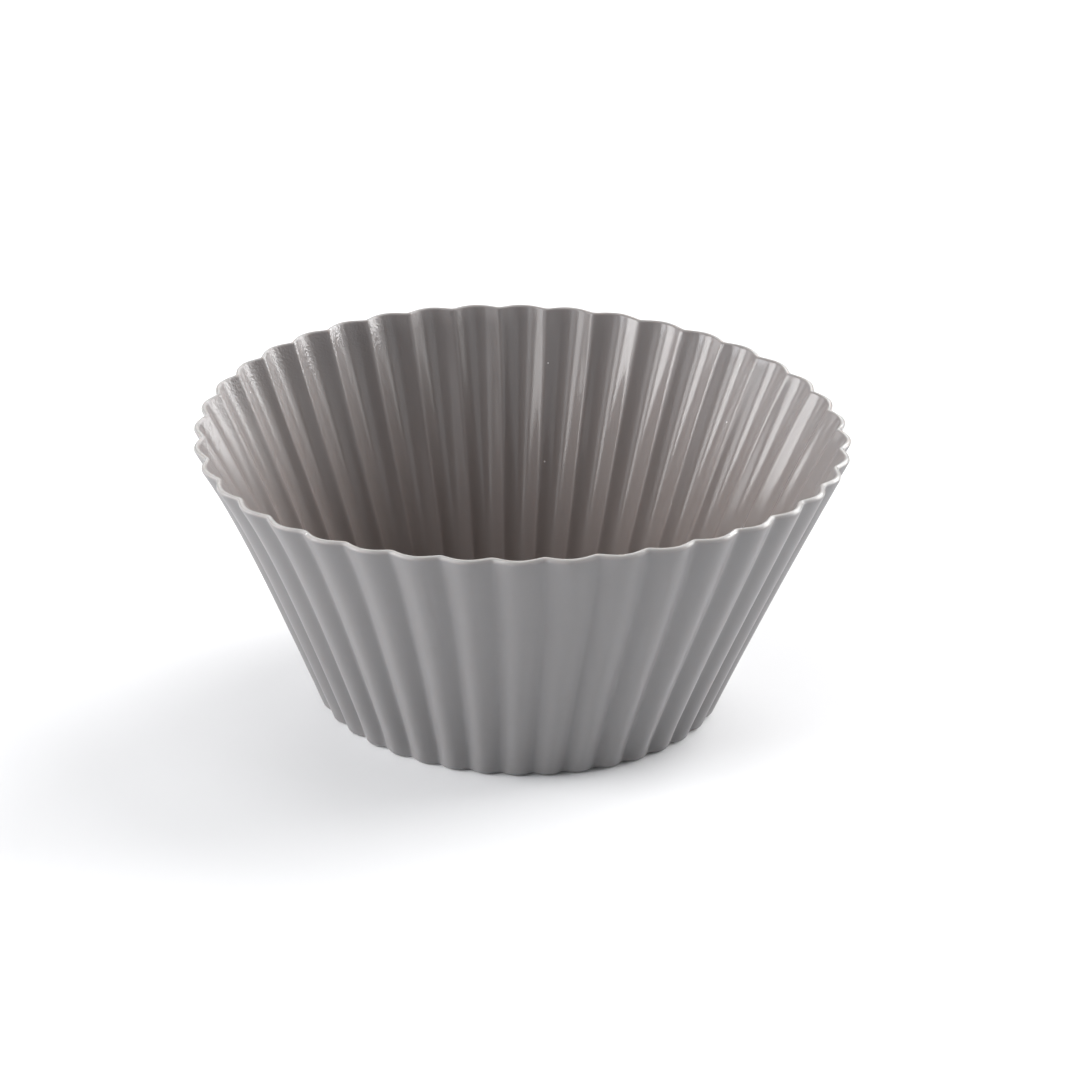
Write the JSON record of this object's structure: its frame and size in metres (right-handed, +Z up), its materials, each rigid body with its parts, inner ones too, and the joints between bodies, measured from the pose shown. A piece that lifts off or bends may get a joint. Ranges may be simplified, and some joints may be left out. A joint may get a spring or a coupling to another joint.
{
  "type": "baking cup",
  "caption": "Round thin-walled baking cup with a flat base, a flared wall with fine flutes, a rounded lip and an open top, moulded in soft silicone.",
  "frame": {"origin": "centre of the underside, on the surface the cup stands on", "axes": "+Z up along the cup's axis and out of its mouth; +X and +Y each pass through the crest of a flute"},
  "size_m": [0.07, 0.07, 0.0305],
  "materials": {
    "silicone": "satin, a little glossier inside"
  },
  "bodies": {
    "root": {"cup": "silicone"}
  },
  "joints": []
}
